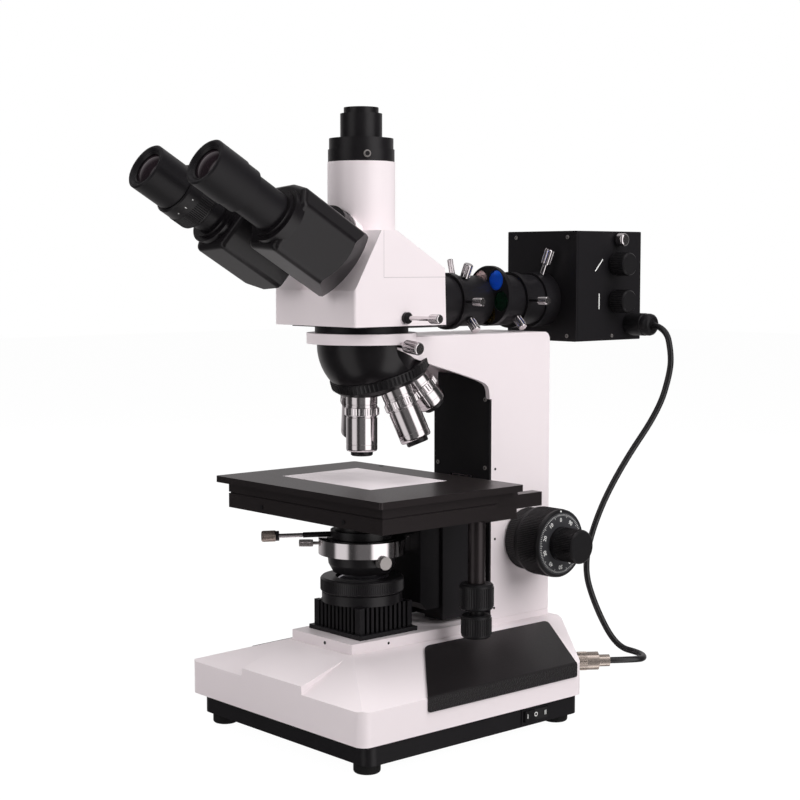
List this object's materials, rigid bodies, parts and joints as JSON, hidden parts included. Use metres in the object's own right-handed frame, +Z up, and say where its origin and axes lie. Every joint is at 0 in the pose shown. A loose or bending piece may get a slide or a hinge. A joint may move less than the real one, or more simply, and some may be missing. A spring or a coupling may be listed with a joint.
{
  "type": "metallurgical microscope",
  "caption": "Upright trinocular metallurgical microscope with turret of objectives, mechanical stage, coaxial focus, reflected-light illuminator, lamp house and transmitted-light base.",
  "frame": {"origin": "bottom centre of the box round the microscope without its lamp cord, on the bench plane", "axes": "+Z up, -Y towards the user, +X to the user's right"},
  "size_m": [0.2071, 0.4397, 0.4604],
  "materials": {
    "white_enamel": "off-white enamel, gloss",
    "black_satin": "black anodised or painted, satin",
    "black_plastic": "black plastic, satin",
    "silver_ring": "bare turned aluminium, satin",
    "rubber": "black rubber",
    "cord": "black cord sheath",
    "chrome": "bright chrome, fine knurls",
    "lens_glass": "coated lens",
    "filter_glass": "coloured filters",
    "plate_grey": "ground grey plate"
  },
  "bodies": {
    "stand": {"base_plate": "black_satin", "rubber_feet": "rubber", "base_cover": "white_enamel", "hand_rests": "black_plastic", "mains_inlet": "black_satin", "lamp_socket": "chrome", "column": "white_enamel", "column_panel": "black_satin", "head_ring": "black_satin", "nosepiece_mount": "black_satin", "field_lamp_housing": "black_satin", "field_lens_mount": "black_satin", "field_lens": "lens_glass", "head_housing": "white_enamel", "photo_tube": "white_enamel", "photo_port": "black_satin", "camera_adapter": "black_satin", "illuminator_tube": "black_satin", "lamp_box": "black_satin", "cable_outlet": "black_plastic", "lamp_cord": "cord", "lamp_plug": "chrome", "thumb_screws": "chrome"},
    "switch": {"switch_rocker": "black_plastic"},
    "brightness": {"brightness_wheel": "black_plastic"},
    "field_iris": {"field_iris_ring": "black_satin"},
    "carriage": {"focus_carriage": "black_satin"},
    "fine_stage": {"stage_bracket": "black_satin", "stage_base": "black_satin", "condenser_carrier": "silver_ring", "condenser_body": "black_satin", "condenser_screws": "chrome"},
    "condenser_iris": {"condenser_iris_lever": "black_satin"},
    "coarse_focus": {"coarse_knobs": "black_plastic"},
    "fine_focus": {"fine_knobs": "black_plastic"},
    "tension": {"tension_ring": "black_plastic"},
    "y_slide": {"stage_middle": "black_satin"},
    "x_slide": {"stage_top": "black_satin", "specimen_plate": "plate_grey"},
    "y_knob": {"stage_y_knob": "black_plastic"},
    "x_knob": {"stage_x_knob": "black_plastic"},
    "turret": {"nosepiece_turret": "black_satin", "objective_5x": "chrome", "objective_10x": "chrome", "objective_20x": "chrome", "objective_50x": "chrome"},
    "right_arm": {"prism_arm_right": "black_satin", "eyepiece_right": "black_satin"},
    "left_arm": {"prism_arm_left": "black_satin", "eyepiece_left": "black_satin"},
    "diopter": {"diopter_ring": "black_satin"},
    "splitter": {"splitter_rod": "chrome"},
    "head_clamp": {"head_clamp_screw": "chrome"},
    "lamp_clamp": {"lamp_clamp_screw": "chrome"},
    "aperture_iris": {"aperture_lever": "black_satin"},
    "illuminator_iris": {"field_lever": "black_satin"},
    "filters": {"filter_wheel": "black_satin", "filter_glasses": "filter_glass"},
    "lamp_centring_upper": {"lamp_knob_upper": "black_plastic"},
    "lamp_centring_lower": {"lamp_knob_lower": "black_plastic"}
  },
  "joints": [
    {"name": "power_switch", "type": "hinge", "parent": "stand", "child": "switch", "pos_m": [0.092, 0.03624, 0.0155], "axis": [0, 0, 1], "range_deg": [-9, 9]},
    {"name": "brightness_turn", "type": "hinge", "parent": "stand", "child": "brightness", "pos_m": [-0.0885, 0.03639, 0.013], "axis": [0, 0, 1], "range_deg": [0, 270]},
    {"name": "field_iris_turn", "type": "hinge", "parent": "stand", "child": "field_iris", "pos_m": [0, -0.04861, 0.11], "axis": [0, 0, 1], "range_deg": [0, 90]},
    {"name": "coarse_slide", "type": "slide", "parent": "stand", "child": "carriage", "axis": [0, 0, 1], "range_m": [-0.0018, 0.016]},
    {"name": "coarse_turn", "type": "hinge", "parent": "stand", "child": "coarse_focus", "pos_m": [0, 0.09339, 0.1327], "axis": [1, 0, 0], "range_deg": [-18, 154]},
    {"name": "fine_turn", "type": "hinge", "parent": "stand", "child": "fine_focus", "pos_m": [0, 0.09339, 0.1327], "axis": [1, 0, 0], "range_deg": [-1450, 1450]},
    {"name": "fine_slide", "type": "slide", "parent": "carriage", "child": "fine_stage", "axis": [0, 0, 1], "range_m": [-0.0008, 0.0008]},
    {"name": "tension_turn", "type": "hinge", "parent": "stand", "child": "tension", "pos_m": [0, 0.09339, 0.1327], "axis": [1, 0, 0], "range_deg": [-60, 60]},
    {"name": "condenser_iris_turn", "type": "hinge", "parent": "fine_stage", "child": "condenser_iris", "pos_m": [0, -0.04861, 0.148], "axis": [0, 0, 1], "range_deg": [-25, 25]},
    {"name": "stage_y", "type": "slide", "parent": "fine_stage", "child": "y_slide", "axis": [0, 1, 0], "range_m": [-0.025, 0.025]},
    {"name": "stage_x", "type": "slide", "parent": "y_slide", "child": "x_slide", "axis": [1, 0, 0], "range_m": [-0.037, 0.037]},
    {"name": "stage_y_turn", "type": "hinge", "parent": "y_slide", "child": "y_knob", "pos_m": [0.0665, 0.00539, 0.1], "axis": [0, 0, 1], "range_deg": [-222, 222]},
    {"name": "stage_x_turn", "type": "hinge", "parent": "y_slide", "child": "x_knob", "pos_m": [0.0665, 0.00539, 0.08], "axis": [0, 0, 1], "range_deg": [-328, 328]},
    {"name": "nosepiece_turn", "type": "hinge", "parent": "stand", "child": "turret", "pos_m": [0, -0.04861, 0.316], "axis": [0, 0.342, -0.9397], "continuous": true},
    {"name": "right_arm_fold", "type": "hinge", "parent": "stand", "child": "right_arm", "pos_m": [0, -0.08759, 0.36049], "axis": [0, -0.866, 0.5], "range_deg": [-19, 10]},
    {"name": "left_arm_fold", "type": "hinge", "parent": "stand", "child": "left_arm", "pos_m": [0, -0.09106, 0.36249], "axis": [0, -0.866, 0.5], "range_deg": [-10.5, 19.5]},
    {"name": "diopter_turn", "type": "hinge", "parent": "left_arm", "child": "diopter", "pos_m": [-0.035, -0.17695, 0.39372], "axis": [0, -0.866, 0.5], "range_deg": [-90, 90]},
    {"name": "splitter_push", "type": "slide", "parent": "stand", "child": "splitter", "axis": [1, 0, 0], "range_m": [-0.016, 0]},
    {"name": "head_clamp_turn", "type": "hinge", "parent": "stand", "child": "head_clamp", "pos_m": [0, -0.04461, 0.2931], "axis": [0.9945, 0, -0.1045], "range_deg": [-180, 180]},
    {"name": "lamp_clamp_turn", "type": "hinge", "parent": "stand", "child": "lamp_clamp", "pos_m": [0, 0.13389, 0.3186], "axis": [0.3907, 0, 0.9205], "range_deg": [-180, 180]},
    {"name": "aperture_turn", "type": "hinge", "parent": "stand", "child": "aperture_iris", "pos_m": [0, 0.03789, 0.3186], "axis": [0, 1, 0], "range_deg": [-35, 20]},
    {"name": "illuminator_iris_turn", "type": "hinge", "parent": "stand", "child": "illuminator_iris", "pos_m": [0, 0.10639, 0.3186], "axis": [0, 1, 0], "range_deg": [-35, 20]},
    {"name": "filter_turn", "type": "hinge", "parent": "stand", "child": "filters", "pos_m": [0.0123, 0.07139, 0.3228], "axis": [0, 1, 0], "continuous": true},
    {"name": "lamp_upper_turn", "type": "hinge", "parent": "stand", "child": "lamp_centring_upper", "pos_m": [0, 0.18889, 0.347], "axis": [1, 0, 0], "range_deg": [-180, 180]},
    {"name": "lamp_lower_turn", "type": "hinge", "parent": "stand", "child": "lamp_centring_lower", "pos_m": [0, 0.18889, 0.317], "axis": [1, 0, 0], "range_deg": [-180, 180]}
  ],
  "couplings": [
    {"joint": "coarse_turn", "follows": "coarse_slide", "rad_per_m": 166.7},
    {"joint": "fine_turn", "follows": "fine_slide", "rad_per_m": 31416},
    {"joint": "stage_y_turn", "follows": "stage_y", "rad_per_m": 153.8},
    {"joint": "stage_x_turn", "follows": "stage_x", "rad_per_m": 153.8},
    {"joint": "left_arm_fold", "follows": "right_arm_fold", "ratio": -1}
  ]
}
